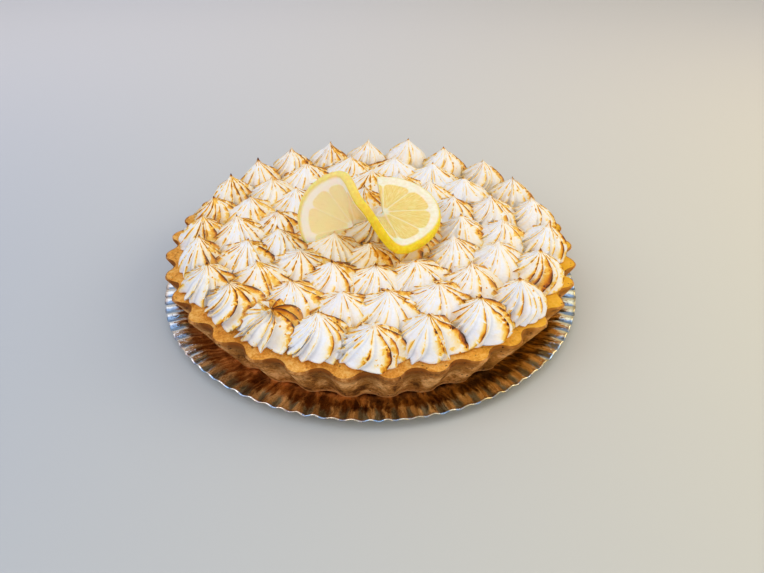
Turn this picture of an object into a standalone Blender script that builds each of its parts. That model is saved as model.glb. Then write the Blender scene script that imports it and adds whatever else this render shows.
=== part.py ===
"""A lemon meringue tart, 21 cm across, on its fluted foil tray.

The tray lies on the ground plane with its centre at the origin, +Z is up, and the lemon slice
faces -Y. Units are metres.
"""

import math
import random

import bmesh
import bpy
from mathutils import Matrix, Vector

MM = 0.001
GAP = 0.3 * MM  # clearance between pieces that lie on each other

# Fluted foil tray
TRAY_RADIUS = 109.5 * MM
TRAY_FLAT_RADIUS = 94.5 * MM
TRAY_THICKNESS = 0.9 * MM
TRAY_EDGE_HEIGHT = 5.6 * MM
TRAY_FLUTES = 90
TRAY_FLUTE_DEPTH = 1.4 * MM

# Shortcrust shell, baked in a fluted tin
CRUST_BASE = TRAY_THICKNESS + GAP
CRUST_TOP = 26.2 * MM
RIM_RADIUS = 103.8 * MM  # half way between the flutes' crests and valleys
FOOT_RADIUS = 91.8 * MM
RIM_FLUTE_DEPTH = 2.4 * MM
FOOT_FLUTE_DEPTH = 1.3 * MM
RIM_INNER_RADIUS = 93.5 * MM
CRUST_FLUTES = 34
CRUST_SAMPLES = CRUST_FLUTES * 6
FLUTE_START = math.radians(9.0)
FLUTE_DRIFT = math.radians(1.0)
FLUTE_BLUNTNESS = 0.8  # below 1 the crests and valleys are broader than a sine's
RIM_SAG = 0.35 * MM
EDGE_ROUNDING = 1.0 * MM

# Lemon cream, level with the rim
FILLING_DEPTH = 8.0 * MM
FILLING_DROP = 0.4 * MM
FILLING_MOAT = 1.2 * MM  # how much lower the cream is where it meets the crust
FILLING_EDGE = 4.0 * MM
FILLING_SIDES = 48
RECESS_DRAFT = 0.5 * MM

# Piped meringue kisses
KISS_BASE = CRUST_TOP + GAP
KISS_HEIGHT = 16.4 * MM
KISS_RADIUS = 12.8 * MM
KISS_RIDGES = 7
KISS_RIDGE_DEPTH = 0.13  # of the radius at the same height
KISS_TWIST = math.radians(38)
KISS_PROFILE = ((0.0, 1.0), (0.42, 0.82), (1.0, 0.0))  # height and radius shares
KISS_SEED = 11
KISS_SCATTER = 1.3  # millimetres in or out of its ring
KISS_TALL = (0.93, 1.07)
KISS_WIDE = (0.97, 1.06)

# Rings of kisses: how many, ring radius, first angle, and the drift of the spacing round the ring
KISS_RINGS = (
    {"count": 23, "radius": 89.0, "start": 9.0, "drift": 5.0, "waves": 1, "phase": 345.0},
    {"count": 18, "radius": 68.2, "start": 19.5, "drift": 6.0, "waves": 1, "phase": 285.0},
    {"count": 14, "radius": 48.3, "start": 18.0, "drift": 4.0, "waves": 2, "phase": 60.0},
    {"count": 8, "radius": 26.2, "start": 6.0, "drift": 3.0, "waves": 1, "phase": 0.0},
    {"count": 1, "radius": 0.5, "start": 90.0, "drift": 0.0, "waves": 1, "phase": 0.0},
)

# Lemon slice, slit through its middle and twisted, so that one half lies and the other stands
LEMON_RADIUS = 28.5 * MM
LEMON_THICKNESS = 4.2 * MM
LYING_CENTRE = Vector((6.0, -12.2, 47.5)) * MM
STANDING_CENTRE = Vector((-8.4, -16.3, 44.5)) * MM
LYING_ARC = (96.0, -66.0)  # degrees from +X, seen from above
STANDING_ARC = (78.0, -25.0)  # degrees above -X
LYING_SLOPE = 12.0  # degrees, down towards -Y
STANDING_LEAN = 3.0  # degrees, back from upright
STANDING_TURN = 8.5  # degrees about +Z
STANDING_ROLL = 7.4  # degrees within its own plane
BRIDGE_CREST = Vector((-4.2, -33.0, 64.5)) * MM  # where the peel turns over between the halves
ARC_STEPS = 16
BRIDGE_STEPS = 6
CUT_CLEARANCE = 0.4 * MM


def clear_scene():
    for obj in list(bpy.data.objects):
        bpy.data.objects.remove(obj)


def material(name, colour, roughness, metallic=0.0):
    made = bpy.data.materials.new(name)
    made.use_nodes = True
    shader = made.node_tree.nodes["Principled BSDF"]
    shader.inputs["Base Color"].default_value = (*colour, 1.0)
    shader.inputs["Roughness"].default_value = roughness
    shader.inputs["Metallic"].default_value = metallic
    made.diffuse_color = (*colour, 1.0)
    return made


def new_object(name, bm, finish=None, sharp_angle=40):
    bmesh.ops.recalc_face_normals(bm, faces=bm.faces)
    mesh = bpy.data.meshes.new(name)
    bm.to_mesh(mesh)
    bm.free()
    mesh.shade_smooth()
    mesh.set_sharp_from_angle(angle=math.radians(sharp_angle))
    obj = bpy.data.objects.new(name, mesh)
    bpy.context.scene.collection.objects.link(obj)
    if finish:
        mesh.materials.append(finish)
    return obj


def ring(bm, points):
    return [bm.verts.new(point) for point in points]


def bridge(bm, lower, upper):
    """Quads between two closed rings of the same length."""
    count = len(lower)
    for i in range(count):
        j = (i + 1) % count
        bm.faces.new((lower[i], lower[j], upper[j], upper[i]))


def fan(bm, edge, centre):
    middle = bm.verts.new(centre)
    count = len(edge)
    for i in range(count):
        bm.faces.new((edge[i], edge[(i + 1) % count], middle))


def stacked_rings(bm, rings, bottom, top):
    """A closed body from rings listed from the bottom centre, up the outside, to the top centre."""
    made = [ring(bm, points) for points in rings]
    fan(bm, made[0], bottom)
    for lower, upper in zip(made, made[1:]):
        bridge(bm, lower, upper)
    fan(bm, made[-1], top)


def polar(radius, angle, height):
    return Vector((radius * math.cos(angle), radius * math.sin(angle), height))


def circle(radius, height, count):
    return [polar(radius, math.tau * i / count, height) for i in range(count)]


# ---- foil tray ----


def tray_ring(radius, rise, depth, underside):
    """One ring of the tray: flutes are folds that alternate up and down, two samples each."""
    points = []
    for i in range(2 * TRAY_FLUTES):
        fold = depth / 2 if i % 2 else -depth / 2
        height = rise + fold + (0.0 if underside else TRAY_THICKNESS)
        points.append(polar(radius, math.pi * i / TRAY_FLUTES, height))
    return points


def build_tray(finish):
    rise = TRAY_EDGE_HEIGHT - TRAY_THICKNESS
    steps = ((TRAY_FLAT_RADIUS, 0.0, 0.0), (TRAY_RADIUS, rise, TRAY_FLUTE_DEPTH))
    bm = bmesh.new()
    under = [tray_ring(radius, rise, depth, True) for radius, rise, depth in steps]
    over = [tray_ring(radius, rise, depth, False) for radius, rise, depth in reversed(steps)]
    stacked_rings(bm, under + over, (0, 0, 0), (0, 0, TRAY_THICKNESS))
    return new_object("foil_tray", bm, finish, 30)


# ---- crust ----


def flute_wave(angle):
    """+1 on a flute's crest and -1 in its valley; the spacing drifts a little, as pressed by hand."""
    drifted = angle - FLUTE_START - FLUTE_DRIFT * math.sin(2 * angle + math.radians(225))
    wave = math.cos(CRUST_FLUTES * drifted)
    return math.copysign(abs(wave) ** FLUTE_BLUNTNESS, wave)


def rim_sag(angle):
    """How far the rim's outer edge drops below its level: an uneven, hand-trimmed edge."""
    return RIM_SAG * (1.6 + math.sin(3 * angle + 0.7) + 0.6 * math.sin(7 * angle + 2.1))


def crust_ring(radius, depth, height, sag=0.0):
    points = []
    for i in range(CRUST_SAMPLES):
        angle = math.tau * i / CRUST_SAMPLES
        points.append(polar(radius + depth * flute_wave(angle), angle, height - sag * rim_sag(angle)))
    return points


def build_crust(finish):
    recess_floor = CRUST_TOP - FILLING_DEPTH
    bm = bmesh.new()
    rings = [
        crust_ring(FOOT_RADIUS - EDGE_ROUNDING, FOOT_FLUTE_DEPTH, CRUST_BASE),
        crust_ring(FOOT_RADIUS, FOOT_FLUTE_DEPTH, CRUST_BASE + EDGE_ROUNDING),
        crust_ring(RIM_RADIUS, RIM_FLUTE_DEPTH, CRUST_TOP - EDGE_ROUNDING, 1.0),
        crust_ring(RIM_RADIUS - EDGE_ROUNDING, RIM_FLUTE_DEPTH, CRUST_TOP, 1.0),
        circle(RIM_INNER_RADIUS, CRUST_TOP, CRUST_SAMPLES),
        circle(RIM_INNER_RADIUS - RECESS_DRAFT, recess_floor, CRUST_SAMPLES),
    ]
    stacked_rings(bm, rings, (0, 0, CRUST_BASE), (0, 0, recess_floor))
    return new_object("crust", bm, finish, 50)


# ---- lemon filling ----


def build_filling(finish):
    clearance = 2 * GAP
    bottom = CRUST_TOP - FILLING_DEPTH + GAP
    level = CRUST_TOP - FILLING_DROP
    bm = bmesh.new()
    rings = [
        circle(RIM_INNER_RADIUS - RECESS_DRAFT - clearance, bottom, FILLING_SIDES),
        circle(RIM_INNER_RADIUS - clearance, level - FILLING_MOAT, FILLING_SIDES),
        circle(RIM_INNER_RADIUS - FILLING_EDGE, level, FILLING_SIDES),
    ]
    stacked_rings(bm, rings, (0, 0, bottom), (0, 0, level))
    return new_object("lemon_filling", bm, finish)


# ---- meringue ----


def kiss_places():
    """(x, y, height share, radius share, turn) of each kiss, ring by ring from the rim inwards."""
    wobble = random.Random(KISS_SEED)
    places = []
    for row in KISS_RINGS:
        for k in range(row["count"]):
            angle = row["start"] + 360 * k / row["count"]
            angle += row["drift"] * math.sin(math.radians(row["waves"] * angle + row["phase"]))
            radius = row["radius"] + wobble.uniform(-KISS_SCATTER, KISS_SCATTER)
            spot = polar(radius * MM, math.radians(angle), 0.0)
            tall = wobble.uniform(*KISS_TALL)
            wide = wobble.uniform(*KISS_WIDE)
            turn = wobble.uniform(0, math.tau)
            places.append((spot.x, spot.y, tall, wide, turn))
    return places


def build_kiss(name, x, y, tall, wide, turn):
    """A star-tip kiss: ridges that twist as they rise to a point."""
    count = 2 * KISS_RIDGES
    bm = bmesh.new()
    rings = []
    for share, spread in KISS_PROFILE[:-1]:
        points = []
        for i in range(count):
            angle = turn + math.tau * i / count + KISS_TWIST * share**2
            depth = KISS_RIDGE_DEPTH if i % 2 else -KISS_RIDGE_DEPTH
            radius = KISS_RADIUS * wide * spread * (1 + depth)
            place = polar(radius, angle, KISS_BASE + KISS_HEIGHT * tall * share)
            points.append(place + Vector((x, y, 0)))
        rings.append(points)
    stacked_rings(bm, rings, (x, y, KISS_BASE), (x, y, KISS_BASE + KISS_HEIGHT * tall))
    return new_object(name, bm)


def boolean(obj, operation, operand):
    cut = obj.modifiers.new(operation.title(), "BOOLEAN")
    cut.operation = operation
    cut.solver = "EXACT"
    if isinstance(operand, bpy.types.Collection):
        cut.operand_type = "COLLECTION"
        cut.collection = operand
    else:
        cut.object = operand
    return cut


def hide(helper):
    helper.hide_render = True
    helper.display_type = "WIRE"


# ---- lemon slice ----


def arc_values(first, last, steps):
    return [first + (last - first) * i / steps for i in range(steps + 1)]


def hermite(start, end, start_slope, end_slope, share):
    """A point on a cubic from start to end that leaves and arrives along the given slopes."""
    square, cube = share**2, share**3
    return (
        start * (2 * cube - 3 * square + 1)
        + start_slope * (cube - 2 * square + share)
        + end * (3 * square - 2 * cube)
        + end_slope * (cube - square)
    )


def standing_axes():
    """The standing half's own left and up directions."""
    turn = Matrix.Rotation(math.radians(-STANDING_TURN), 3, "Z")
    lean = Matrix.Rotation(math.radians(-STANDING_LEAN), 3, "X")
    roll = Matrix.Rotation(math.radians(-STANDING_ROLL), 3, "Y")
    frame = turn @ lean @ roll
    return frame @ Vector((-1, 0, 0)), frame @ Vector((0, 0, 1))


def lemon_rulings(radius, overrun):
    """(middle point, peel point) of each ruling, from one cut edge round to the other."""
    slope = math.radians(LYING_SLOPE)
    right, back = Vector((1, 0, 0)), Vector((0, math.cos(slope), math.sin(slope)))
    left, up = standing_axes()
    spread = math.degrees(overrun / radius)

    def on_arc(centre, across, along, degrees):
        turned = math.radians(degrees)
        return centre + radius * (across * math.cos(turned) + along * math.sin(turned))

    lying = arc_values(LYING_ARC[0] + spread, LYING_ARC[1], ARC_STEPS)
    standing = arc_values(STANDING_ARC[0], STANDING_ARC[1] - spread, ARC_STEPS)
    first = [on_arc(LYING_CENTRE, right, back, degrees) for degrees in lying]
    last = [on_arc(STANDING_CENTRE, left, up, degrees) for degrees in standing]

    middle = (LYING_CENTRE + STANDING_CENTRE) / 2
    crest = middle + (BRIDGE_CREST - middle) * (radius / LEMON_RADIUS)
    leaving = (first[-1] - first[-2]).normalized()
    arriving = (last[1] - last[0]).normalized()
    over = (last[0] - first[-1]).normalized()
    span = (crest - first[-1]).length
    rest = (last[0] - crest).length
    rulings = [(LYING_CENTRE, point) for point in first]
    for i in range(1, 2 * BRIDGE_STEPS):
        share = i / BRIDGE_STEPS
        if share <= 1:
            peel = hermite(first[-1], crest, leaving * span, over * span, share)
        else:
            peel = hermite(crest, last[0], over * rest, arriving * rest, share - 1)
        rulings.append((LYING_CENTRE.lerp(STANDING_CENTRE, share / 2), peel))
    return rulings + [(STANDING_CENTRE, point) for point in last]


def lemon_normals(rulings):
    """Across the slice at each ruling; a flat half has one normal, and the bridge turns between them."""
    normals = []
    last = len(rulings) - 1
    for i, (middle, peel) in enumerate(rulings):
        before, after = max(i - 1, 0), min(i + 1, last)
        if i == ARC_STEPS:
            after = i
        if i == last - ARC_STEPS:
            before = i
        along = rulings[after][1] - rulings[before][1]
        normals.append(along.cross(peel - middle).normalized())
    return normals


def build_lemon(name, finish=None, grow=0.0):
    rulings = lemon_rulings(LEMON_RADIUS + grow, grow)
    half = LEMON_THICKNESS / 2 + grow
    bm = bmesh.new()
    cores = {}
    rows = []
    for (middle, peel), normal in zip(rulings, lemon_normals(rulings)):
        core = middle - (peel - middle).normalized() * grow
        key = tuple(middle)
        flat = middle in (LYING_CENTRE, STANDING_CENTRE)
        if not flat or key not in cores:
            cores[key] = [bm.verts.new(core + normal * side) for side in (half, -half)]
        edge = [bm.verts.new(peel + normal * side) for side in (half, -half)]
        rows.append((cores[key], edge))

    def face(*corners):
        unique = list(dict.fromkeys(corners))
        if len(unique) > 2:
            bm.faces.new(unique)

    for (core, edge), (next_core, next_edge) in zip(rows, rows[1:]):
        face(core[0], edge[0], next_edge[0], next_core[0])
        face(core[1], next_core[1], next_edge[1], edge[1])
        face(edge[0], edge[1], next_edge[1], next_edge[0])
        face(core[0], next_core[0], next_core[1], core[1])
    for core, edge in (rows[0], rows[-1]):
        face(core[0], core[1], edge[1], edge[0])
    return new_object(name, bm, finish)


def build_meringue(finish, lemon_cutter):
    """All kisses run together where they touch, so the topping is one body."""
    places = kiss_places()
    others = bpy.data.collections.new("kisses")
    bpy.context.scene.collection.children.link(others)
    others.hide_render = True
    for number, place in enumerate(places[1:], 2):
        kiss = build_kiss(f"kiss_{number}", *place)
        bpy.context.scene.collection.objects.unlink(kiss)
        others.objects.link(kiss)
        hide(kiss)
    meringue = build_kiss("meringue", *places[0])
    meringue.data.materials.append(finish)
    boolean(meringue, "UNION", others)
    boolean(meringue, "DIFFERENCE", lemon_cutter)
    return meringue


def main():
    clear_scene()
    foil = material("tray_foil", (0.75, 0.76, 0.78), 0.25, 1.0)
    pastry = material("baked_pastry", (0.62, 0.34, 0.11), 0.75)
    cream = material("lemon_cream", (0.80, 0.72, 0.38), 0.4)
    lemon = material("lemon_flesh_and_peel", (0.88, 0.72, 0.10), 0.35)
    egg_white = material("torched_meringue", (0.92, 0.88, 0.80), 0.55)
    build_tray(foil)
    build_crust(pastry)
    build_filling(cream)
    build_lemon("lemon_slice", lemon)
    cutter = build_lemon("lemon_clearance", None, CUT_CLEARANCE)
    hide(cutter)
    build_meringue(egg_white, cutter)


main()
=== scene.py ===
# Lemon meringue tart on its fluted foil tray.
# Pastry shell, lemon cream, piped and torched kisses, and a twisted slice of lemon.
import itertools
import math
import random

import bmesh
import bpy
import numpy as np
from mathutils import Matrix, Vector


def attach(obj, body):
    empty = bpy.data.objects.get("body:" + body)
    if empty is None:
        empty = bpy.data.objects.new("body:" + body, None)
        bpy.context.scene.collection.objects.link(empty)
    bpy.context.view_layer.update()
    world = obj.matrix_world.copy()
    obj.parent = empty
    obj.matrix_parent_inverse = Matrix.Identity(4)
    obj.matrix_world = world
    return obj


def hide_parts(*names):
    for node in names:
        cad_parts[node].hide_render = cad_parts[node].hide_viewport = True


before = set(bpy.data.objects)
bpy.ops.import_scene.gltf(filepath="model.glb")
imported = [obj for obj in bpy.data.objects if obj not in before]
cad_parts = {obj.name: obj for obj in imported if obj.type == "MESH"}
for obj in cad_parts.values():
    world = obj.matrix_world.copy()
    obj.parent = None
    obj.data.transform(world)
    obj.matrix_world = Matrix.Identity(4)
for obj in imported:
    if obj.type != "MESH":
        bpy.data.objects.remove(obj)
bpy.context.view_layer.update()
mm = 0.001


class Wire:
    # A socket in a material. Adding, multiplying and so on makes the Math nodes.
    def __init__(self, tree, socket=None):
        self.tree = tree
        self.socket = socket

    def node(self, kind, settings=None, sockets=None, out=0):
        made = self.tree.nodes.new("ShaderNode" + kind)
        for name, value in (settings or {}).items():
            if name == "stops":
                for k, (place, colour) in enumerate(value):
                    ramp = made.color_ramp.elements
                    stop = ramp[k] if k < len(ramp) else ramp.new(place)
                    stop.position = place
                    stop.color = colour
            else:
                setattr(made, name, value)
        for name, value in (sockets or {}).items():
            if isinstance(value, Wire):
                self.tree.links.new(value.socket, made.inputs[name])
            else:
                made.inputs[name].default_value = value
        return Wire(self.tree, made.outputs[out])

    def maths(self, operation, first, second, clamped=False):
        return self.node("Math", {"operation": operation, "use_clamp": clamped}, {0: first, 1: second})

    def __add__(self, other):
        return self.maths("ADD", self, other)

    def __sub__(self, other):
        return self.maths("SUBTRACT", self, other)

    def __rsub__(self, other):
        return self.maths("SUBTRACT", other, self)

    def __mul__(self, other):
        return self.maths("MULTIPLY", self, other)

    __radd__ = __add__
    __rmul__ = __mul__

    def clamp(self):
        return self.maths("ADD", self, 0.0, True)

    # 0 below low, 1 above high, and a soft step between
    def step(self, low, high):
        sockets = {0: self, 1: low, 2: high, 3: 0.0, 4: 1.0}
        return self.node("MapRange", {"interpolation_type": "SMOOTHSTEP"}, sockets)

    def attribute(self, name):
        return self.node("Attribute", {"attribute_name": name}, out=2)

    def place(self):
        return self.node("TexCoord", out=3)

    # how far along X, Y or Z a position lies
    def axis(self, k):
        return self.node("SeparateXYZ", {}, {0: self}, k)

    def stretched(self, scale):
        return self.node("Mapping", {}, {"Vector": self, "Scale": scale})

    def grain(self, where, scale, detail=3.0, rough=0.55, warp=0.0):
        sockets = {"Vector": where, "Scale": scale, "Detail": detail, "Roughness": rough, "Distortion": warp}
        return self.node("TexNoise", {}, sockets)

    def cells(self, where, scale):
        return self.node("TexVoronoi", {}, {"Vector": where, "Scale": scale})

    def colours(self, stops):
        return self.node("ValToRGB", {"stops": stops}, {0: self})

    # self is the share of the second colour
    def mix(self, first, second):
        return self.node("Mix", {"data_type": "RGBA"}, {0: self, 6: first, 7: second}, 2)

    def bump(self, strength, distance):
        return self.node("Bump", {}, {"Strength": strength, "Distance": distance, "Height": self})


# A material with its constants set; returns it, its shader and a first wire
def newFinish(name, constants):
    made = bpy.data.materials.new(name)
    made.use_nodes = True
    shader = made.node_tree.nodes["Principled BSDF"]
    for socket, value in constants.items():
        shader.inputs[socket].default_value = value
    return made, shader, Wire(made.node_tree)


def feed(shader, socket, wire):
    wire.tree.links.new(wire.socket, shader.inputs[socket])


# From everyday 0 to 255 values to scene light, fully opaque
def rgb(red, green, blue):
    def toLinear(value):
        share = value / 255
        return share / 12.92 if share <= 0.04045 else ((share + 0.055) / 1.055) ** 2.4

    return toLinear(red), toLinear(green), toLinear(blue), 1.0


# Rolls a grid up round the axis along a profile of (radius, height) points, as a closed round body
def turnedBody(profile, columns):
    rows = len(profile) - 1
    bm = bmesh.new()
    bmesh.ops.create_grid(bm, x_segments=columns, y_segments=rows, size=0.5)
    for vert in bm.verts:
        turn = (vert.co.x + 0.5) * math.tau
        radius, height = profile[round((vert.co.y + 0.5) * rows)]
        vert.co = (radius * math.cos(turn), radius * math.sin(turn), height)
    bmesh.ops.remove_doubles(bm, verts=bm.verts, dist=1e-6)
    bmesh.ops.recalc_face_normals(bm, faces=bm.faces)
    return bm


def coordsOf(mesh):
    coords = np.empty(len(mesh.vertices) * 3, np.float32)
    mesh.vertices.foreach_get("co", coords)
    return coords.reshape(-1, 3).astype(np.float64)


# Distance from the axis, and angle round it
def polarOf(coords):
    return np.hypot(coords[:, 0], coords[:, 1]), np.arctan2(coords[:, 1], coords[:, 0])


def setCoords(mesh, coords):
    mesh.vertices.foreach_set("co", coords.astype(np.float32).ravel())
    mesh.update()


def setAttribute(mesh, name, values):
    layer = mesh.attributes.new(name, "FLOAT", "POINT")
    layer.data.foreach_set("value", np.asarray(values, np.float32))


def meshFrom(name, bm):
    mesh = bpy.data.meshes.new(name)
    bm.to_mesh(mesh)
    bm.free()
    mesh.shade_smooth()
    return mesh


# Puts a finished mesh in the scene as a piece that stands for CAD nodes
def addPiece(name, mesh, finish, slot, *nodes):
    piece = bpy.data.objects.new(name, mesh)
    bpy.context.scene.collection.objects.link(piece)
    mesh.materials.append(finish)
    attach(piece, "root")
    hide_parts(*nodes)
    print(name, len(mesh.polygons), "faces")
    return piece


def between(low, high, share):
    return low + (high - low) * share


def smooth(low, high, value):
    share = np.clip((value - low) / (high - low), 0, 1)
    return share * share * (3 - 2 * share)


# Smooth noise of -1 to 1 at each point; size is the width of its lumps
def lumps(coords, size, seed=0.0):
    spot = np.asarray(coords) / size + 13.7 * seed + 0.31
    cell = np.floor(spot)
    ease = smooth(0, 1, spot - cell)
    total = np.zeros(len(spot))
    for corner in itertools.product((0, 1), repeat=3):
        value = np.sin((cell + corner) @ (127.1, 311.7, 74.7)) * 43758.5453 % 1
        total += np.prod(np.where(corner, ease, 1 - ease), axis=1) * (1.6 * value - 0.8)
    return total


tray = {
    "radius": 109.5 * mm,
    "flatRadius": 88.0 * mm,
    "bendRadius": 102.5 * mm,
    "thickness": 0.5 * mm,
    "wallSlope": 0.36,
    "rimSlope": 0.04,
    "flutes": 90,
    "fluteDepth": 0.52 * mm,
    "columnsPerFlute": 10,
    "rings": 26,
    "lift": 0.35 * mm,
    "creaseWidth": 9 * mm,
    "creaseHeight": 0.22 * mm,
    "wrinkleWidth": 0.04,
    "wrinkleHeight": 0.16 * mm,
    "flattened": 0.985,
    "tuckWidth": 1.2 * mm,
    "tuck": 0.0022,
    # painted reflections, each colour at the left and at the right: the room near the edge, the pastry
    # further in
    "pale": (rgb(250, 248, 246), rgb(252, 240, 200)),
    "blue": rgb(152, 180, 214),
    "copper": (rgb(254, 212, 172), rgb(206, 172, 72)),
    "brown": (rgb(150, 108, 72), rgb(76, 64, 8)),
}


# Height of the foil above its flat middle, before the flutes: a slope, then a flatter rim
def trayRise(radius):
    flat, bend = tray["flatRadius"], tray["bendRadius"]
    reach = np.linspace(flat, tray["radius"], 200)
    steep = smooth(flat, flat + 4 * mm, reach)
    steep *= 1 - smooth(bend - 2.5 * mm, bend + 1.5 * mm, reach)
    slope = between(tray["rimSlope"], tray["wallSlope"], steep)
    slope[0] = 0
    return np.interp(radius, reach, np.cumsum(slope) * (reach[1] - reach[0]))


def makeTray():
    flat, edge, thickness = tray["flatRadius"], tray["radius"], tray["thickness"]
    radii = [flat * share for share in (0.0, 0.5, 0.96)]
    radii += [between(flat, edge, k / tray["rings"]) for k in range(tray["rings"] + 1)]
    under = [(radius, 0.0) for radius in radii]
    over = [(radius, thickness) for radius in reversed(radii)]
    mesh = meshFrom("foilTray", turnedBody(under + over, tray["flutes"] * tray["columnsPerFlute"]))
    coords = coordsOf(mesh)
    radius, angle = polarOf(coords)
    upper = coords[:, 2] > thickness / 2
    # the flutes wander a little round the tray, and vary in depth
    wander = 0.012 * np.sin(5 * angle + 1.0) + 0.008 * np.sin(13 * angle)
    phase = tray["flutes"] * (angle + wander)
    fold = np.arcsin(0.96 * np.sin(phase)) / (math.pi / 2)
    grow = smooth(flat + 5 * mm, tray["bendRadius"] + 5 * mm, radius)
    strength = 1 + 0.30 * np.sin(7 * angle + 2) + 0.25 * np.sin(23 * angle) + 0.2 * np.sin(41 * angle + 1)
    height = trayRise(radius) + grow * tray["fluteDepth"] * strength * (fold + 0.2 * grow)
    # creases run any way, and wrinkles run outwards
    crease = lumps(coords * (1, 1, 0), tray["creaseWidth"], 3.0)
    wrinkle = lumps(np.stack([angle, radius, radius * 0], axis=1), tray["wrinkleWidth"], 6.0)
    height += smooth(84 * mm, 92 * mm, radius) * crease * tray["creaseHeight"]
    height += smooth(86 * mm, 94 * mm, radius) * wrinkle * tray["wrinkleHeight"]
    height = np.maximum(height, 0) * tray["flattened"]
    lowest = np.where(radius > flat, tray["lift"] * (1 - grow), 0.0)
    coords[:, 2] = height + lowest + np.where(upper, thickness, 0)
    # the edge draws in where a flute rises
    tuck = smooth(edge - tray["tuckWidth"], edge, radius)
    coords[:, :2] *= (1 - tuck * tray["tuck"] * (1 + np.sin(phase + 0.6)))[:, None]
    setCoords(mesh, coords)
    setAttribute(mesh, "ray", angle * edge / mm)
    setAttribute(mesh, "out", radius / mm)
    setAttribute(mesh, "fold", fold)
    return addPiece("foilTray", mesh, silverFoil(), "tray_foil", "foil_tray")


def silverFoil():
    finish, shader, start = newFinish("silverFoil", {"Metallic": 1.0})
    where = start.place()
    out, fold = start.attribute("out"), start.attribute("fold")
    scuffs = start.grain(where, 90, 4, 0.6)
    fine = start.grain(where, 900, 2, 0.5)
    along = start.attribute("ray") * 0.36 + scuffs * 2.4
    streaks = start.grain(start.node("CombineXYZ", {}, {"X": along, "Y": out * 0.09}), 1.0, 3, 0.6)
    right = where.axis(0).step(-0.09, 0.09)
    near = where.axis(1).step(-0.02, -0.10)
    # painted reflections: near its edge the foil is painted with the pale and blue room, further in and at
    # the front with the brown of the pastry
    reach = out + (streaks - 0.5) * 20 + (scuffs - 0.5) * 10 + fold * 0.4 - near * 1.6
    # painted highlights in streaks at the left
    paintedGlint = (1 - right) * streaks.step(0.45, 0.75) * 0.25
    worn = out.step(107.4, 108.6) * scuffs.step(0.42, 0.56)
    roomReflectionShare = (reach.step(99.0, 104.0) * 0.94 + paintedGlint) * (1 - worn * 0.55)
    # painted reflection of the blue window and the pale room, flute by flute
    windowReflectionStripe = (fold + (scuffs - 0.5) * 3.4).step(-0.40, 0.30)
    paintedRoomReflection = windowReflectionStripe.mix(tray["blue"], right.mix(*tray["pale"]))
    # painted reflection of the pastry, in brown and copper lobes
    lobes = (streaks * 0.7 + scuffs * 0.3).step(0.42, 0.62)
    inner = lobes.mix(right.mix(*tray["brown"]), right.mix(*tray["copper"]))
    feed(shader, "Base Color", roomReflectionShare.clamp().mix(inner, paintedRoomReflection))
    feed(shader, "Roughness", 0.08 + scuffs * 0.14)
    feed(shader, "Normal", (streaks * 1.3 + scuffs * 0.4 + fine * 0.08).bump(0.45, 0.0008))
    return finish


crust = {
    "base": 1.2 * mm,
    "top": 26.2 * mm,
    "rimRadius": 103.8 * mm,
    "footRadius": 91.8 * mm,
    "rimFlute": 2.4 * mm,
    "footFlute": 1.3 * mm,
    "innerRadius": 93.5 * mm,
    "recess": 8.0 * mm,
    "flutes": 34,
    "columnsPerFlute": 28,
    "rounding": 1.3 * mm,
    "wallRings": 40,
    "topRings": 16,
    "sag": 0.35 * mm,
    "chipDepth": 0.8 * mm,
    "chipDrop": 0.7 * mm,
    # dark, middle and light places in the pattern, with their colours
    "wallTones": [(0.38, rgb(94, 52, 12)), (0.49, rgb(178, 116, 52)), (0.61, rgb(238, 180, 114))],
    "topTones": [(0.38, rgb(190, 114, 32)), (0.49, rgb(224, 152, 58)), (0.60, rgb(243, 186, 100))],
    # painted shade in the flutes' hollows
    "hollowShadeTone": rgb(126, 80, 28),
    "footTone": rgb(214, 150, 90),
    "lipTone": rgb(128, 70, 16),
    # painted warm light from the lamp at the right
    "warmLitTopTone": rgb(246, 184, 30),
    "warmLitWallTone": rgb(226, 150, 44),
    # painted shade inside pores and torn crumb
    "holeShadeTone": rgb(62, 34, 12),
}


# +1 on a flute's crest and -1 in its valley, where the solid has them
def fluteWave(angle):
    drifted = angle - math.radians(9) - math.radians(1) * np.sin(2 * angle + math.radians(225))
    wave = np.cos(crust["flutes"] * drifted)
    return np.sign(wave) * np.abs(wave) ** 0.8


# How far the rim sank while it baked
def rimSag(angle):
    return crust["sag"] * (1.6 + np.sin(3 * angle + 0.7) + 0.6 * np.sin(7 * angle + 2.1))


# From the middle of the underside, up the wall, over the rim and down into the recess
def crustProfile():
    soft = crust["rounding"]
    low, high = crust["base"], crust["top"]
    foot, rim, inner = crust["footRadius"], crust["rimRadius"], crust["innerRadius"]
    floor = high - crust["recess"]
    points = [(0, low), (foot * 0.5, low), (foot * 0.9, low), (foot - soft, low)]
    for k in range(1, 5):
        turn = math.pi / 2 * k / 4
        points.append((foot - soft + soft * math.sin(turn), low + soft - soft * math.cos(turn)))
    for k in range(1, crust["wallRings"]):
        share = k / crust["wallRings"]
        points.append((between(foot, rim, share), between(low + soft, high - soft, share)))
    for k in range(7):
        turn = math.pi / 2 * k / 6
        points.append((rim - soft + soft * math.cos(turn), high - soft + soft * math.sin(turn)))
    for k in range(1, crust["topRings"]):
        points.append((between(rim - soft, inner, k / crust["topRings"]), high))
    points += [(inner, high), (inner - 0.3 * mm, high - 4 * mm), (inner - 0.5 * mm, floor)]
    return points + [(inner * 0.6, floor), (0, floor)]


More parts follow.
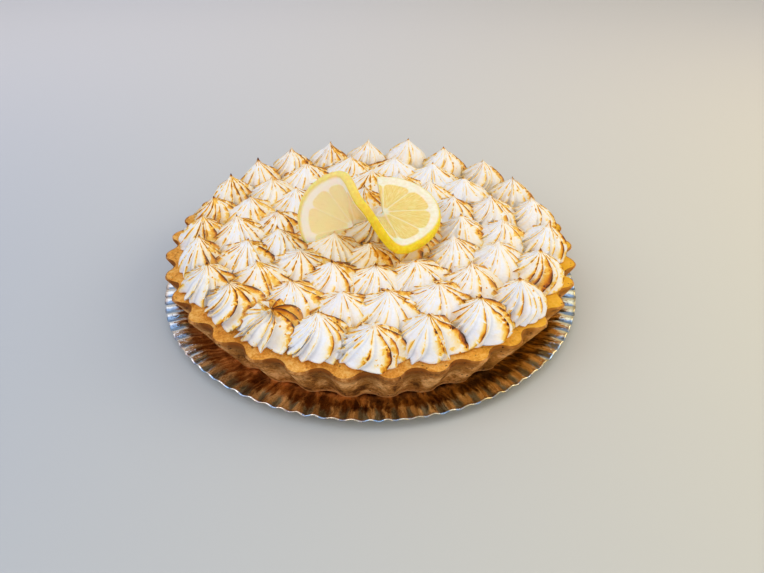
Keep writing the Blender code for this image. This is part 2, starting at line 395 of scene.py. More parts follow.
def makeCrust():
    columns = crust["flutes"] * crust["columnsPerFlute"]
    mesh = meshFrom("pastryShell", turnedBody(crustProfile(), columns))
    coords = coordsOf(mesh)
    radius, angle = polarOf(coords)
    low, high = crust["base"], crust["top"]
    inner, rim = crust["innerRadius"], crust["rimRadius"]
    tall = np.clip((coords[:, 2] - low) / (high - low), 0, 1)
    wave = fluteWave(angle)
    # the recess and the flat underside stay round and even
    onTop = coords[:, 2] > high - 0.05 * mm
    inRecess = (radius < inner + 0.1 * mm) & (tall > 0.5)
    under = (tall < 0.02) & (radius < crust["footRadius"] - 2 * mm)
    weight = np.where(onTop, smooth(inner, rim - crust["rounding"], radius), 1 - (inRecess | under))
    push = weight * wave * between(crust["footFlute"], crust["rimFlute"], tall)
    sag = weight * rimSag(angle) * smooth(0.6, 1.0, tall)
    # broad lumps, grains and crumbs
    broad = lumps(coords, 9 * mm, 1.0)
    grain = lumps(coords, 1.9 * mm, 5.0)
    fine = lumps(coords, 0.9 * mm, 9.0)
    rough = weight * (0.26 * broad + 0.22 * grain + 0.14 * fine) * mm
    # small chips are missing along the outer edge
    edge = smooth(0.86, 0.96, tall) * (1 - smooth(0, 3.2 * mm, rim - radius))
    chip = edge * smooth(0.28, 0.62, lumps(coords, 5.5 * mm, 21.0) + 0.35 * grain)
    rough -= chip * crust["chipDepth"]
    newRadius = radius + push + rough * (1 - 0.75 * onTop)
    coords[:, :2] *= np.where(radius > 1e-6, newRadius / np.maximum(radius, 1e-6), 1)[:, None]
    lift = onTop * weight * (0.16 * broad + 0.12 * grain + 0.1 * fine - 0.35) * mm
    highest = coords[:, 2].max()
    coords[:, 2] += lift - sag - chip * crust["chipDrop"]
    coords[:, 2] = np.clip(coords[:, 2], low, highest)
    setCoords(mesh, coords)
    setAttribute(mesh, "tall", tall)
    setAttribute(mesh, "wave", wave)
    setAttribute(mesh, "rimTop", onTop | inRecess)
    setAttribute(mesh, "chip", chip)
    return addPiece("pastryShell", mesh, bakedPastry(), "baked_pastry", "crust")


def bakedPastry():
    finish, shader, start = newFinish(
        "bakedPastry",
        {
            "IOR": 1.4,
            "Specular IOR Level": 0.25,
            "Subsurface Weight": 0.05,
            "Subsurface Scale": 0.001,
        },
    )
    where = start.place()
    tall, wave = start.attribute("tall"), start.attribute("wave")
    top, chip = start.attribute("rimTop"), start.attribute("chip")
    # the wall's pattern stands taller than it is wide
    broad = start.grain(where.stretched((1.0, 1.0, 0.7)), 120, 4, 0.65)
    sand = start.grain(where, 800, 3, 0.7)
    wall = (broad * 0.70 + sand * 0.30).colours(crust["wallTones"])
    # painted shade darkens the flutes' hollows; the foot is paler, and the lip and its chips brown most
    hollow = (0.25 - wave).step(0.0, 1.1) * tall.step(0.25, 0.75) * 0.65
    wall = hollow.mix(wall, crust["hollowShadeTone"])
    wall = tall.step(0.11, 0.04).mix(wall, crust["footTone"])
    lip = (tall + (broad - 0.5) * 0.9).step(0.74, 0.92) * (1 - top) * (0.75 - wave * 0.6).clamp()
    wall = (lip + chip * 0.8).clamp().mix(wall, crust["lipTone"])
    # painted warm light: the right side is more golden, as lit by the warm lamp there
    right = where.axis(0).step(0.02, 0.10)
    wall = (right * 0.40).mix(wall, crust["warmLitWallTone"])
    rim = (broad * 0.55 + sand * 0.45).colours(crust["topTones"])
    rim = (right * 0.75).mix(rim, crust["warmLitTopTone"])
    skin = (top * (1 - chip * 0.7)).step(0.2, 0.8).mix(wall, rim)
    # rare pores all over, and torn crumb on the wall, painted dark as the shade inside them
    pores = start.cells(where, 420).step(0.22, 0.13) * start.grain(where, 160, 1).step(0.50, 0.62)
    torn = start.grain(where, 260, 4, 0.75, 0.4).step(0.57, 0.63) * (1 - top)
    holes = (pores * (1 - top * 0.4) + torn * 0.42).clamp()
    feed(shader, "Base Color", holes.mix(skin, crust["holeShadeTone"]))
    feed(shader, "Roughness", 0.72 + sand * 0.2)
    feed(shader, "Normal", (sand * 0.6 + broad * 0.3 - holes).bump(0.6, 0.0010))
    return finish


cream = {
    "radius": 92.9 * mm,
    "bottom": 18.5 * mm,
    "level": 25.8 * mm,
    "moat": 1.2 * mm,
    "edge": 4.0 * mm,
    "swell": 0.25 * mm,
    "columns": 240,
    "tones": (rgb(206, 196, 152), rgb(226, 212, 164)),
}


def makeCream():
    level, radius, bottom, moat = cream["level"], cream["radius"], cream["bottom"], cream["moat"]
    profile = [(0, bottom), (radius - 0.5 * mm, bottom), (radius, level - moat)]
    for k in range(1, 9):
        share = k / 8
        profile.append((radius - cream["edge"] * share, level - moat * (1 - share) ** 2))
    profile += [(radius * k / 14, level) for k in range(13, -1, -1)]
    mesh = meshFrom("lemonCream", turnedBody(profile, cream["columns"]))
    coords = coordsOf(mesh)
    upper = coords[:, 2] > level - moat - 0.01 * mm
    coords[:, 2] += upper * cream["swell"] * (lumps(coords, 14 * mm, 2.0) - 0.4)
    setCoords(mesh, coords)
    return addPiece("lemonCream", mesh, lemonCurd(), "lemon_cream", "lemon_filling")


def lemonCurd():
    finish, shader, start = newFinish(
        "lemonCurd", {"Roughness": 0.35, "Subsurface Weight": 0.2, "Subsurface Scale": 0.003}
    )
    cloud = start.grain(start.place(), 60, 2)
    feed(shader, "Base Color", cloud.step(0.3, 0.7).mix(*cream["tones"]))
    feed(shader, "Normal", cloud.bump(0.2, 0.001))
    return finish


kiss = {
    "base": 26.5 * mm,
    "height": 15.8 * mm,
    "radius": 11.8 * mm,
    "ridges": 14,
    # columns from one crest to the next, and where the hollow between them lies
    "samples": (0.0, 0.06, 0.16, 0.30, 0.50, 0.72, 0.90),
    "valley": 0.30,
    "rows": 42,
    "ridgeDepth": 0.115,
    "roundFoot": 0.85,
    "footReach": 0.10,
    "twist": math.radians(58),
    "spike": 0.7 * mm,
    "hook": 0.9 * mm,
    "lean": (0.2 * mm, 2.8 * mm),
    # middle and spread of where the flame came from, in degrees
    "torchTurn": (18, 34),
    "pressed": 0.93,
    "steep": (1.50, 1.85),
    "tentSteep": (1.28, 1.52),
    "spread": 1.02,
    "tentSpread": 1.46,
    # how the outer ring stands off the even one
    "leftGap": 2.4 * mm,
    "frontReach": 1.13,
    "backPush": 1.6 * mm,
    "backRise": 0.11,
    # ring and number of the kiss whose tip was dragged flat, and its height
    "smeared": (0, 15),
    "flatTop": 0.56,
    # height, width and seed of each size of lump
    "swells": (
        (0.36 * mm, 4.6 * mm, 7.0),
        (0.22 * mm, 2.0 * mm, 3.0),
        (0.12 * mm, 1.0 * mm, 5.0),
    ),
    # where the painted light round the lemon lies, and how far it reaches
    "lemonLightPlace": (3 * mm, -16 * mm),
    "lemonLightReach": (18 * mm, 44 * mm),
    # from untouched to burnt
    "tones": [
        (0.00, rgb(239, 242, 252)),
        (0.13, rgb(250, 238, 210)),
        (0.27, rgb(250, 208, 96)),
        (0.46, rgb(230, 152, 16)),
        (0.68, rgb(180, 96, 6)),
        (0.86, rgb(124, 60, 8)),
        (1.00, rgb(66, 30, 8)),
    ],
    # painted shade in the hollows, inside the tart and at its rim
    "hollowShadeTones": (rgb(250, 220, 152), rgb(184, 192, 210)),
    "seed": 11,
    "lookSeed": 5,
}
kissRings = (
    {"count": 23, "radius": 89.0, "start": 9.0, "drift": 5.0, "waves": 1, "phase": 345.0},
    {"count": 18, "radius": 68.2, "start": 19.5, "drift": 6.0, "waves": 1, "phase": 285.0},
    {"count": 14, "radius": 48.3, "start": 18.0, "drift": 4.0, "waves": 2, "phase": 60.0},
    {"count": 8, "radius": 26.2, "start": 6.0, "drift": 3.0, "waves": 1, "phase": 0.0},
    {"count": 1, "radius": 0.5, "start": 90.0, "drift": 0.0, "waves": 1, "phase": 0.0},
)


# Where a kiss stands, and how it was piped
def kissPlace(ring, k, wobble):
    row = kissRings[ring]
    angle = row["start"] + 360 * k / row["count"]
    angle += row["drift"] * math.sin(math.radians(row["waves"] * angle + row["phase"]))
    turned = math.radians(angle)
    radius = (row["radius"] + wobble.uniform(-1.3, 1.3)) * mm
    behind = nearness = 0.0
    if ring == 0:
        # the rim shows wider at the left, and the kisses at the back stand out over it
        behind, nearness = max(0.0, math.sin(turned)), max(0.0, -math.sin(turned))
        radius += kiss["leftGap"] * min(0.0, math.cos(turned)) + kiss["backPush"] * behind
    x, y = radius * math.cos(turned), radius * math.sin(turned)
    far = (y - 0.6 * x) / radius
    return {
        "x": x,
        "y": y,
        "bearing": turned,
        # the inner kisses run into one another like tents; those at the rim keep their round sides
        "tent": 1.0 if ring else between(0.4, 0.6 if far > 0 else 0.1, abs(far)),
        "smeared": (ring, k) == kiss["smeared"],
        "outward": kiss["pressed"] * between(1.0, kiss["frontReach"], nearness),
        "tall": wobble.uniform(0.93, 1.07) * (1 + kiss["backRise"] * behind),
        "wide": wobble.uniform(0.97, 1.06),
        "turn": wobble.uniform(0, math.tau),
    }


# The kisses of the solid, ring by ring from the rim inwards
def kissPlaces():
    wobble = random.Random(kiss["seed"])
    return [
        [kissPlace(ring, k, wobble) for k in range(row["count"])]
        for ring, row in enumerate(kissRings)
    ]


# A plain can with a column for each sample round the kiss; its points are moved kiss by kiss
def kissTemplate():
    rows, columns = kiss["rows"], kiss["ridges"] * len(kiss["samples"])
    profile = [(0, 0)] + [(1, k) for k in range(rows)] + [(0, rows)]
    return turnedBody(profile, columns)


# Radius and height shares of each row up a kiss, evenly spaced along its side: a cone with a full, round foot
def kissSide(steepness, tent):
    height = np.linspace(0, 1, 400)
    cone = np.maximum(steepness * (1 - height), 1e-4) ** between(1.0, 1.26, tent)
    radius = (cone**-5 + 1) ** (-1 / 5)
    radius[-1] = 0
    along = np.concatenate([[0], np.cumsum(np.hypot(np.diff(radius), 1.4 * np.diff(height)))])
    even = np.linspace(0, along[-1], kiss["rows"] + 1)
    return np.interp(even, along, radius), np.interp(even, along, height)


# The ridge's height across it, from one crest to the next: a steep lee side and a full, round face
def ridgeWave(share):
    valley = kiss["valley"]
    lee = 1 - 2 * np.sin(np.clip(share / valley, 0, 1) * math.pi / 2) ** 0.85
    face = 1 - 2 * np.sin(np.clip((1 - share) / (1 - valley), 0, 1) * math.pi / 2) ** 1.25
    return np.where(share < valley, lee, face)


# The bag's own unevenness, ridge by ridge: where each lies, how strong, how far up, how it wanders and burns
def ridgeTraits(chance):
    ridges = kiss["ridges"]

    def strength():
        weak = chance.random() < 0.33
        return chance.uniform(0.1, 0.5) if weak else chance.uniform(0.7, 1.6)

    def burning(strong):
        return min(1.3, 0.38 + 0.65 * strong) * chance.uniform(0.55, 1.05)

    crests = [(k + chance.uniform(-0.34, 0.34)) * math.tau / ridges for k in range(ridges)]
    traits = {
        "strong": [strength() for _ in crests],
        "reach": [chance.uniform(0.75, 1.25) for _ in crests],
        "wander": [chance.uniform(-0.17, 0.17) for _ in crests],
        "flare": [max(0.0, chance.gauss(0.03, 0.08)) for _ in crests],
    }
    traits["burn"] = [burning(strong) for strong in traits["strong"]]
    # the last ridge meets the first, a full turn on
    closed = {name: np.array(values + values[:1]) for name, values in traits.items()}
    closed["crest"] = np.array(crests + [crests[0] + math.tau])
    return closed


# Moves the can's points to one kiss, and returns them with what its finish follows
def shapeKiss(column, row, pole, place, chance):
    samples, valley = kiss["samples"], kiss["valley"]
    traits = ridgeTraits(chance)
    ridge = column // len(samples)
    share = np.array(samples)[column % len(samples)]

    def across(name):
        return between(traits[name][ridge], traits[name][ridge + 1], share)

    tent = min(1.0, max(0.0, place["tent"] + chance.uniform(-0.3, 0.3)))
    draw = chance.random()
    steepness = between(between(*kiss["steep"], draw), between(*kiss["tentSteep"], draw), tent)
    radii, heights = kissSide(steepness, tent)
    side, up = radii[row], heights[row]
    foot = np.exp(-up / kiss["footReach"])
    # sharp ridges above, round lobes with creases between them at the foot
    crest = np.where(share < valley, 1 - share / valley, (share - valley) / (1 - valley))
    lobe = 2 * np.sin(math.pi / 2 * crest) - 1
    wave = between(ridgeWave(share), lobe, kiss["roundFoot"] * foot)
    twist = kiss["twist"] * chance.uniform(0.0, 1.25)
    angle = across("crest") + place["turn"] + twist * (1 - (1 - up) ** 1.5)
    angle += across("wander") * np.sin(math.pi * 1.3 * up)
    # the crest leans over the hollow beside it, and the ridges crowd together away from the flame
    angle += 0.05 * np.clip(wave, 0, 1) * (1 - up)
    torchTurn = math.radians(chance.gauss(*kiss["torchTurn"]))
    angle += chance.uniform(0.10, 0.42) * np.sin(angle - torchTurn)
    fade = 1 - 0.75 * smooth(across("reach") - 0.35, across("reach"), up)
    depth = kiss["ridgeDepth"] * across("strong") * fade * (1 - 0.65 * foot) * (1 - 0.35 * up)
    depth = depth * between(1.75, 1.30, tent)
    flare = across("flare") * foot * np.clip(wave, 0, 1)
    widest = kiss["tentSpread"] if place["tent"] == 1.0 else kiss["spread"]
    spread = place["wide"] * between(kiss["spread"], widest, tent)
    radius = kiss["radius"] * spread * side * (1 + depth * wave + flare)
    height = kiss["height"] * place["tall"] * up
    peak = np.clip(1 - side / 0.24, 0, 1)
    if place["smeared"]:
        flatTop = kiss["flatTop"] * kiss["height"] + 1.5 * mm * wave * smooth(0.4, 0.8, up)
        height = between(height, flatTop, smooth(0.42, 0.75, up) * 0.85)
        peak = 0 * peak
    height = height + kiss["spike"] * chance.uniform(0.3, 1.4) * peak**1.8
    radius = radius * (1 - 0.28 * peak)
    # a kiss is wider along its ring than across it, and its tip drifts off its foot
    reach = np.where(pole, 0, radius)
    wider = (1 + 0.20 * (1 - tent) * foot) / kiss["pressed"]
    toRim = reach * np.cos(angle - place["bearing"]) * place["outward"]
    aside = reach * np.sin(angle - place["bearing"]) * wider
    lean, bearing = chance.uniform(*kiss["lean"]), chance.uniform(0, math.tau)
    drift = lean * up**1.6 + kiss["hook"] * chance.uniform(0, 1) * peak**2
    cosine, sine = math.cos(place["bearing"]), math.sin(place["bearing"])
    x = toRim * cosine - aside * sine + drift * math.cos(bearing)
    y = toRim * sine + aside * cosine + drift * math.sin(bearing)
    coords = np.stack([x + place["x"], y + place["y"], height + kiss["base"]], axis=1)
    burn = np.where(share < valley, traits["burn"][ridge], traits["burn"][ridge + 1])
    return coords, toastKiss(coords, place, crest, up, burn, np.cos(angle - torchTurn), chance)


# How the torch coloured each point of a kiss
def toastKiss(coords, place, crest, up, burn, toFlame, chance):
    # the flame lingered at the front left of the tart
    lingered = np.clip(0.52 + (-0.95 * place["y"] - 0.72 * place["x"]) / (200 * mm), 0, 1)
    toast = 0.40 * chance.random() + 0.60 * lingered
    burn = burn * (0.82 + 0.24 * toFlame) * (0.64 + 0.84 * toast)
    flame = smooth(-0.35, 1.1, 0.75 * toFlame + 0.65 * up) * (0.60 + 0.55 * toast)
    if place["smeared"]:
        up, flame, burn = 0.85 * up, flame + 0.45, 0.95 * burn
    rimward = smooth(84 * mm, 97 * mm, polarOf(coords)[0])
    burn = burn * (1 - 0.6 * rimward * smooth(0.45, 0.05, up))
    # the painted shade in the hollows at the rim is blue grey, and cream again round the back
    rimward = rimward * between(0.15, 1.0, smooth(60 * mm, 5 * mm, coords[:, 1]))
    # some tips stayed pale
    up = up * (1.0 - 0.08 * (chance.random() > 0.35 + 0.5 * toast))
    # painted light: the kisses round the lemon are painted warmer, as if lit through the lemon
    near, far = kiss["lemonLightReach"]
    paintedLemonLight = smooth(far, near, polarOf(coords[:, :2] - kiss["lemonLightPlace"])[0])
    return {
        "crest": crest,
        "burn": burn,
        "up": up,
        "torch": flame,
        "rimward": rimward,
        "paintedLemonLight": paintedLemonLight,
    }


# One piece: a can for each kiss, shaped, and then swollen along its normals
def makeKisses(name, places, finish, chance):
    template = meshFrom("kissTemplate", kissTemplate())
    unit = coordsOf(template)
    columns = kiss["ridges"] * len(kiss["samples"])
    unitRadius, unitAngle = polarOf(unit)
    pole = unitRadius < 0.5
    column = np.round(unitAngle / math.tau * columns).astype(int) % columns
    row = np.round(unit[:, 2]).astype(int)
    bm = bmesh.new()
    for k in range(len(places)):
        bm.from_mesh(template)
    mesh = meshFrom(name, bm)
    bpy.data.meshes.remove(template)
    shapes = [shapeKiss(column, row, pole, place, chance) for place in places]
    coords = np.concatenate([points for points, _ in shapes])
    for key in shapes[0][1]:
        setAttribute(mesh, key, np.concatenate([values[key] for _, values in shapes]))
    setCoords(mesh, coords)
    normals = np.empty(len(coords) * 3, np.float32)
    mesh.vertices.foreach_get("normal", normals)
    swell = sum(height * lumps(coords, width, seed) for height, width, seed in kiss["swells"])
    rise = coords[:, 2] - kiss["base"]
    swell *= smooth(0, 1.0 * mm, rise) * (1 + 0.6 * smooth(8 * mm, 3 * mm, rise))
    coords += normals.reshape(-1, 3) * swell[:, None]
    setCoords(mesh, coords)
    return addPiece(name, mesh, finish, "torched_meringue", "meringue")


def torchedMeringue():
    finish, shader, start = newFinish(
        "torchedMeringue",
        {
            "IOR": 1.4,
            "Specular IOR Level": 0.35,
            "Subsurface Weight": 0.12,
            "Subsurface Scale": 0.0015,
            "Subsurface Radius": (1.0, 0.85, 0.65),
        },
    )
    where = start.place()
    crest, burn = start.attribute("crest"), start.attribute("burn")
    up, flame = start.attribute("up"), start.attribute("torch")
    rimward, paintedLemonLight = start.attribute("rimward"), start.attribute("paintedLemonLight")
    patch = start.grain(where, 150, 2, 0.5, 0.4)
    fine = start.grain(where, 480, 3, 0.65)
    broken = start.grain(where, 260, 2, 0.6, 0.5)
    strength = (burn * (0.25 + 1.05 * patch) * (broken.step(0.36, 0.56) * 1.30 + 0.12)).clamp()
    band = (crest + fine * 0.16 - 0.08).step(0.64, 0.99)
    core = (crest + fine * 0.14 - 0.07).step(0.90, 1.01)
    scorch = (patch + (fine - 0.5) * 0.6 + crest * 0.18 + flame * 0.36).step(0.86, 1.06)
    scorch = scorch * flame.step(0.2, 0.75)
    pits = start.cells(where, 650).step(0.45, 0.10) * scorch
    speckled = (fine + flame * 0.25 + crest * 0.15).step(0.72, 0.84)
    flecks = start.cells(where, 330).step(0.22, 0.10) * speckled
    tip = (up + fine * 0.06).step(0.94, 1.02)
    halo = crest.step(0.10, 0.95) * strength
    heat = band * strength * 0.42 + core * strength * 0.40 + scorch * 0.24 + flame * 0.065 + halo * 0.20
    heat = heat - pits * 0.07 + tip * 0.66 + flecks * 0.44 + paintedLemonLight * (0.02 + patch * 0.12)
    # painted shade: the hollows between the ridges, and the feet inside the tart, take a shade colour, warm
    # inside the tart and blue grey at the rim
    valleyShade = crest.step(0.35, 0.0) * (1 - up.step(0.55, 0.95)) * (0.30 + rimward * 0.10 + paintedLemonLight * 0.1)
    low = up.step(0.65, 0.20) * (1 - rimward) * (0.08 + patch * 0.30)
    hollow = rimward.mix(*kiss["hollowShadeTones"])
    feed(shader, "Base Color", (valleyShade + low).clamp().mix(heat.clamp().colours(kiss["tones"]), hollow))
    feed(shader, "Roughness", 0.5 + fine * 0.2)
    foam = start.cells(where, 1100)
    feed(shader, "Normal", (fine + patch * 0.4 + foam * 0.35).bump(0.45, 0.0008))
    return finish


def makeMeringue():
    finish = torchedMeringue()
    chance = random.Random(kiss["lookSeed"])
    outer, second, third, fourth, middle = kissPlaces()
    makeKisses("kissesOuterRing", outer, finish, chance)
    makeKisses("kissesSecondRing", second, finish, chance)
    makeKisses("kissesInnerRings", third + fourth + middle, finish, chance)


lemon = {
    "radius": 28.5 * mm,
    "thickness": 4.2 * mm,
    "lyingCentre": Vector((6.0, -12.2, 47.5)) * mm,
    "standingCentre": Vector((-8.4, -16.3, 44.5)) * mm,
    "crest": Vector((-4.2, -33.0, 64.5)) * mm,
    "lyingArc": (96.0, -66.0),
    "standingArc": (78.0, -25.0),
    "slope": 12.0,
    "lean": 3.0,
    "turn": 8.5,
    "roll": 7.4,
    "peel": 1.1 * mm,
    "pith": 5.2 * mm,
    "membrane": 0.45 * mm,
    "membranes": (6, 48, 93, 132, 166, 204, 240, 272, 304, 346),
    "segmentCorner": 3.4 * mm,
    "core": 0.5 * mm,
    "edgeRounding": 1.3 * mm,
    "dimple": 0.22 * mm,
    "opened": math.radians(358),
    "columns": 300,
    "radialSteps": 34,
    "edgeSteps": 8,
    "fleshTones": [(0.30, rgb(230, 198, 92)), (0.50, rgb(238, 212, 120)), (0.72, rgb(246, 230, 164))],
    "pithTones": (rgb(240, 230, 200), rgb(247, 241, 222)),
    "zestTones": (rgb(228, 198, 8), rgb(240, 220, 44)),
    # the standing half has the light behind it
    "litFlesh": rgb(254, 240, 190),
    "litPith": rgb(255, 252, 240),
}


# A point on a cubic that leaves and arrives along the given slopes
def hermite(start, end, leaving, arriving, share):
    square, cube = share**2, share**3
    first = start * (2 * cube - 3 * square + 1) + leaving * (cube - 2 * square + share)
    return first + end * (3 * square - 2 * cube) + arriving * (cube - square)


# Directions across and up the standing half
def standingAxes():
    turn = Matrix.Rotation(math.radians(-lemon["turn"]), 3, "Z")
    lean = Matrix.Rotation(math.radians(-lemon["lean"]), 3, "X")
    roll = Matrix.Rotation(math.radians(-lemon["roll"]), 3, "Y")
    axes = turn @ lean @ roll
    return axes @ Vector((-1, 0, 0)), axes @ Vector((0, 0, 1))


# Middle point, peel point and face direction at a share of the way round the slit slice
def lemonRuling(share):
    slope = math.radians(lemon["slope"])
    right, back = Vector((1, 0, 0)), Vector((0, math.cos(slope), math.sin(slope)))
    left, up = standingAxes()
    lying = [math.radians(angle) for angle in lemon["lyingArc"]]
    standing = [math.radians(angle) for angle in lemon["standingArc"]]
    firstPart = (lying[0] - lying[1]) / math.tau
    lastPart = (standing[0] - standing[1]) / math.tau

    def onArc(centre, across, along, angle):
        return centre + lemon["radius"] * (across * math.cos(angle) + along * math.sin(angle))

    if share <= firstPart:
        angle = between(*lying, share / firstPart)
        return lemon["lyingCentre"], onArc(lemon["lyingCentre"], right, back, angle), right.cross(back)
    if share >= 1 - lastPart:
        angle = between(*standing, (share - 1 + lastPart) / lastPart)
        return lemon["standingCentre"], onArc(lemon["standingCentre"], left, up, angle), left.cross(up)
    begin = onArc(lemon["lyingCentre"], right, back, lying[1])
    end = onArc(lemon["standingCentre"], left, up, standing[0])
    leaving = (right * math.sin(lying[1]) - back * math.cos(lying[1])).normalized()
    arriving = (left * math.sin(standing[0]) - up * math.cos(standing[0])).normalized()
    over = (end - begin).normalized()
    crest = lemon["crest"]
    span, rest = (crest - begin).length, (end - crest).length
    way = (share - firstPart) / (1 - firstPart - lastPart)

    def onBridge(way):
        if way <= 0.5:
            return hermite(begin, crest, leaving * span, over * span, 2 * way)
        return hermite(crest, end, over * rest, arriving * rest, 2 * way - 1)

    middle = lemon["lyingCentre"].lerp(lemon["standingCentre"], way)
    peel = onBridge(way)
    along = onBridge(min(way + 0.01, 1)) - onBridge(max(way - 0.01, 0))
    return middle, peel, along.cross(peel - middle).normalized()


# Millimetres from a point of the flat slice to the edge of its segment of flesh; below 0 in pith
def fleshDepth(around, out):
    angle = around * math.tau
    membranes = np.radians(lemon["membranes"])
    nearest = np.abs(angle[:, None] - membranes).min(axis=1)
    thick = lemon["membrane"] * (1 - 0.75 * smooth(0.52, 0.66, around))
    toMembrane = out * np.sin(np.minimum(nearest, math.pi / 2)) - thick / 2
    rim = lemon["radius"] - lemon["peel"] - lemon["pith"] * (1 + 0.18 * np.sin(angle * 2 + 1))
    toPith = rim - out
    corner = lemon["segmentCorner"]
    near, far = np.minimum(toMembrane, corner), np.minimum(toPith, corner)
    rounded = corner - np.hypot(corner - near, corner - far)
    inCorner = (toMembrane < corner) & (toPith < corner)
    return np.where(inCorner, rounded, np.minimum(toMembrane, toPith)) / mm


# The slice before its twist, spun flat and open at its slit
def flatSlice():
    radius, half, soft = lemon["radius"], lemon["thickness"] / 2, lemon["edgeRounding"]
    steps, bends = lemon["radialSteps"], lemon["edgeSteps"]
    flat = [between(lemon["core"], radius - soft, k / steps) for k in range(steps + 1)]
    turns = [math.pi * k / bends for k in range(1, bends)]
    rim = [(radius - soft + soft * math.sin(turn), half * math.cos(turn)) for turn in turns]
    section = [(reach, half) for reach in flat] + rim + [(reach, -half) for reach in reversed(flat)]
    bm = bmesh.new()
    line = [bm.verts.new((reach, 0, height)) for reach, height in section]
    edges = [bm.edges.new(pair) for pair in zip(line, line[1:] + line[:1])]
    bmesh.ops.spin(
        bm,
        geom=line + edges,
        cent=(0, 0, 0),
        axis=(0, 0, 1),
        angle=lemon["opened"],
        steps=lemon["columns"],
    )
    bmesh.ops.holes_fill(bm, edges=[edge for edge in bm.edges if edge.is_boundary], sides=0)
    bmesh.ops.recalc_face_normals(bm, faces=bm.faces)
    return bm


# Carries each point of the flat slice to its place in the twist
def makeLemon():
    radius, core, columns = lemon["radius"], lemon["core"], lemon["columns"]
    mesh = meshFrom("lemonTwist", flatSlice())
    coords = coordsOf(mesh)
    reach, turn = polarOf(coords)
    column = np.round(turn % math.tau / lemon["opened"] * columns).astype(int) % (columns + 1)
    around = column / columns
    out = radius * (reach - core) / (radius - core)
    flatHeight = coords[:, 2]
    rulings = [lemonRuling(k / columns) for k in range(columns + 1)]
    middles, peels, facings = (np.array([ruling[k] for ruling in rulings]) for k in range(3))
    # the flesh is sunk below the pith, and the peel is dimpled
    flesh = fleshDepth(around, out)
    sunk = 1 - 0.10 * smooth(0.0, 0.9, flesh) + 0.03 * lumps(coords, 1.6 * mm, 4.0) * (flesh > 0)
    onPeel = smooth(radius - lemon["edgeRounding"], radius, reach)
    share = (out + lemon["dimple"] * lumps(coords, 1.5 * mm, 11.0) * onPeel) / radius
    coords = middles[column] + (peels[column] - middles[column]) * share[:, None]
    coords += facings[column] * (flatHeight * sunk)[:, None]
    setCoords(mesh, coords)
    setAttribute(mesh, "flesh", flesh)
    setAttribute(mesh, "out", out / radius)
    setAttribute(mesh, "around", around * math.tau)
    # points that came to lie in one place become one
    bm = bmesh.new()
    bm.from_mesh(mesh)
    bmesh.ops.remove_doubles(bm, verts=bm.verts, dist=1e-6)
    bmesh.ops.recalc_face_normals(bm, faces=bm.faces)
    bm.to_mesh(mesh)
    bm.free()
    return addPiece("lemonTwist", mesh, freshLemon(), "lemon_flesh_and_peel", "lemon_slice")


def freshLemon():
    finish, shader, start = newFinish(
        "freshLemon",
        {
            "IOR": 1.38,
            "Subsurface Weight": 0.6,
            "Subsurface Scale": 0.006,
            "Coat Roughness": 0.15,
        },
    )
    where = start.place()
    flesh, out, around = start.attribute("flesh"), start.attribute("out"), start.attribute("around")
    sacs = start.node("CombineXYZ", {}, {"X": around * 26.0, "Y": out * 7.0})
    juice = start.grain(sacs, 1.0, 3, 0.6, 0.6)
    fine = start.grain(where, 500, 2)
    standing = around.step(3.2, 4.4)
    pulp = (standing * 0.80).mix(juice.colours(lemon["fleshTones"]), lemon["litFlesh"])
    pith = (standing * 0.8).mix(fine.step(0.3, 0.7).mix(*lemon["pithTones"]), lemon["litPith"])
    # the middle is torn, and shows the pith
    torn = (out + (juice - 0.5) * 0.16).step(0.13, 0.07)
    inside = (flesh.step(-0.60, 0.45) * (1 - torn * 0.9)).mix(pith, pulp)
    # the peel shows as a thin line, a little wider at the lower right and on the standing half
    lower = around.step(1.7, 2.5) * (1 - standing)
    zest = (out + fine * 0.04 + standing * 0.03 + lower * 0.05).step(0.95, 1.01) * (1 - standing * 0.25)
    peel = fine.step(0.3, 0.75).mix(*lemon["zestTones"])
    feed(shader, "Base Color", zest.mix(inside, peel))
    feed(shader, "Roughness", 0.42 - flesh.step(0, 0.3) * 0.18 + fine * 0.1)
    feed(shader, "Coat Weight", flesh.step(0, 0.3) * 0.5)
    pores = start.cells(where, 900).step(0.0, 0.5) * zest
    relief = juice * flesh.step(0, 0.4) + pores * 0.8 + fine * 0.2
    feed(shader, "Normal", relief.bump(0.35, 0.0005))
    return finish


studio = {
    "cameraPlace": (0.0, -0.29449, 0.20777),
    "cameraTurn": (54.118, -0.413, -0.845),
    "lens": 30.63,
    # each colour at the left and at the right; the floor's are painted light, darker and cooler at the near
    # left and warmer at the right
    "floorNear": (rgb(168, 179, 198), rgb(216, 209, 184)),
    "floorFar": (rgb(222, 220, 224), rgb(216, 209, 198)),
    "walls": (rgb(230, 232, 236), rgb(246, 232, 206)),
    "ceiling": rgb(186, 206, 236),
    "worldStrength": 0.70,
}
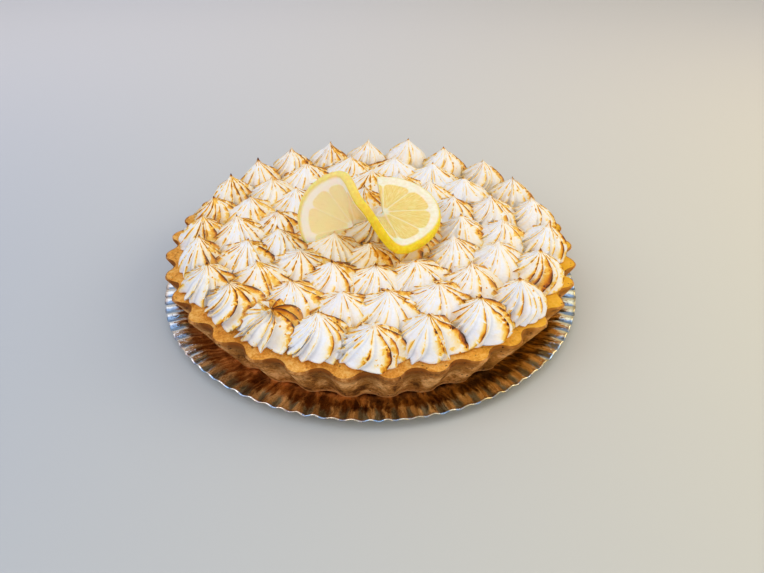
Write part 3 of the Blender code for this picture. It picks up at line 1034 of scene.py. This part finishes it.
# name, place, size, watts and colour of each soft light, all aimed at the middle
softLights = (
    ("windowLeft", (-0.75, -0.30, 0.80), 0.85, 3.4, (1.0, 0.98, 0.98)),
    ("windowNear", (-0.18, -1.60, 0.78), 1.00, 4.6, (1.0, 0.98, 0.95)),
    ("lampRight", (0.75, 0.15, 0.60), 0.45, 2.2, (1.0, 0.86, 0.64)),
    ("bounceCard", (0.45, -0.55, 0.30), 0.50, 0.8, (1.0, 0.94, 0.84)),
    ("skyPanel", (0.0, 0.20, 1.1), 1.10, 2.4, (1.0, 0.98, 0.95)),
)


def makeFloor():
    bm = bmesh.new()
    bmesh.ops.create_grid(bm, x_segments=1, y_segments=1, size=3.0)
    mesh = meshFrom("studioFloor", bm)
    floor = bpy.data.objects.new("studioFloor", mesh)
    bpy.context.scene.collection.objects.link(floor)
    finish, shader, start = newFinish("palePaper", {"Roughness": 0.85})
    # painted light: the floor is darker and bluer at the near left and warmer at the right
    across = start.place().axis(0).step(-0.45, 0.45)
    ahead = start.place().axis(1).step(-0.2, 0.6)
    near, far = across.mix(*studio["floorNear"]), across.mix(*studio["floorFar"])
    feed(shader, "Base Color", ahead.mix(near, far))
    mesh.materials.append(finish)
    print("floor staged")


def makeLights():
    world = bpy.data.worlds.new("paleRoom")
    world.use_nodes = True
    sky = world.node_tree.nodes["Background"]
    direction = Wire(world.node_tree).node("TexCoord", out=0)
    walls = direction.axis(0).step(-0.9, 0.9).mix(*studio["walls"])
    feed(sky, "Color", direction.axis(2).step(0.60, 0.85).mix(walls, studio["ceiling"]))
    sky.inputs["Strength"].default_value = studio["worldStrength"]
    bpy.context.scene.world = world
    for name, place, size, watts, colour in softLights:
        data = bpy.data.lights.new(name, "AREA")
        data.size, data.energy, data.color = size, watts, colour
        light = bpy.data.objects.new(name, data)
        light.location = place
        light.rotation_euler = Vector(place).to_track_quat("Z", "Y").to_euler()
        bpy.context.scene.collection.objects.link(light)
    print(len(softLights), "soft lights")


def makeCamera():
    data = bpy.data.cameras.new("camera")
    data.lens = studio["lens"]
    data.clip_start = 0.01
    camera = bpy.data.objects.new("camera", data)
    camera.location = studio["cameraPlace"]
    camera.rotation_euler = [math.radians(turn) for turn in studio["cameraTurn"]]
    bpy.context.scene.collection.objects.link(camera)
    bpy.context.scene.camera = camera
    bpy.context.scene.view_settings.view_transform = "Standard"
    print("camera placed")


makeCamera()
makeLights()
makeFloor()
makeTray()
makeCrust()
makeCream()
makeMeringue()
makeLemon()
print("pie finished")
